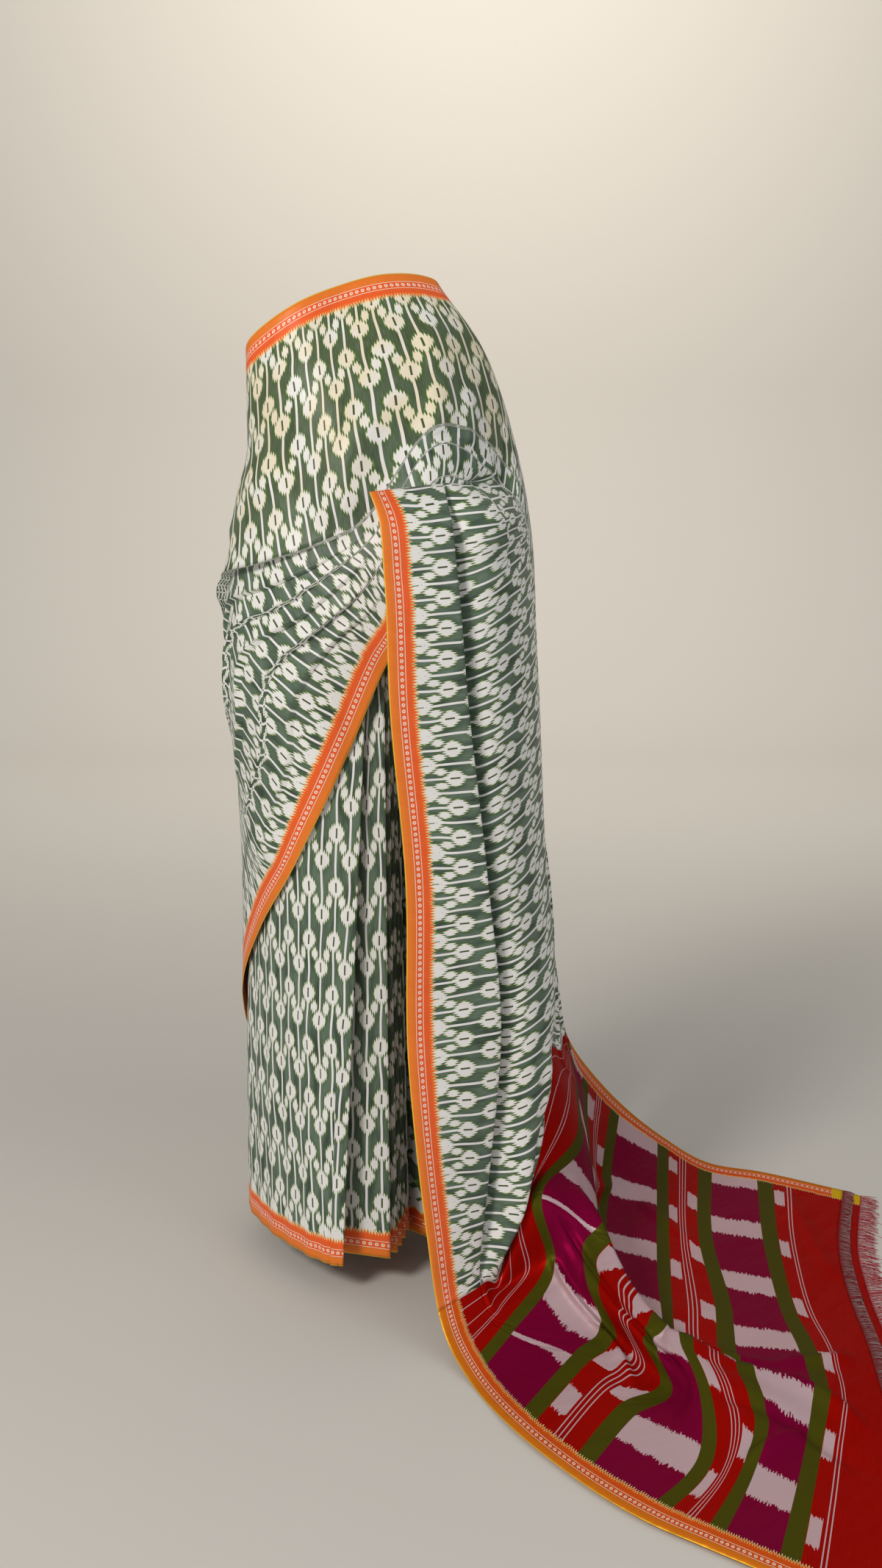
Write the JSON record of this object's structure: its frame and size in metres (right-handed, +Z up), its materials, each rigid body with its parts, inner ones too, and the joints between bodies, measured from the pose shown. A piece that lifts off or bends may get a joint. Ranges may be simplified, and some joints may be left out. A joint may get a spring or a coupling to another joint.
{
  "type": "worn silk saree",
  "caption": "Silk saree in its worn form: skirt round, front pleats, second round over the chest, fall from shoulder and forearm, and a decorated end trailing on the floor with fringe.",
  "frame": {"origin": "centre of the waist, on the wearer's upright axis, where the wearer holds the cloth; the floor lies 1.02 m below it", "axes": "+Z up along the wearer, -Y the way the wearer faces, +X towards the wearer's left side, where the cloth falls"},
  "size_m": [1.0802, 1.4049, 1.5126],
  "materials": {
    "ikat_silk": "satin",
    "pallu_silk": "satin",
    "fringe_silk": "satin"
  },
  "bodies": {
    "root": {"skirt_wrap": "ikat_silk", "front_pleats": "ikat_silk", "front_drape": "ikat_silk", "shoulder_pallu": "ikat_silk", "pallu_trail": "pallu_silk", "pallu_fringe": "fringe_silk"}
  },
  "joints": []
}
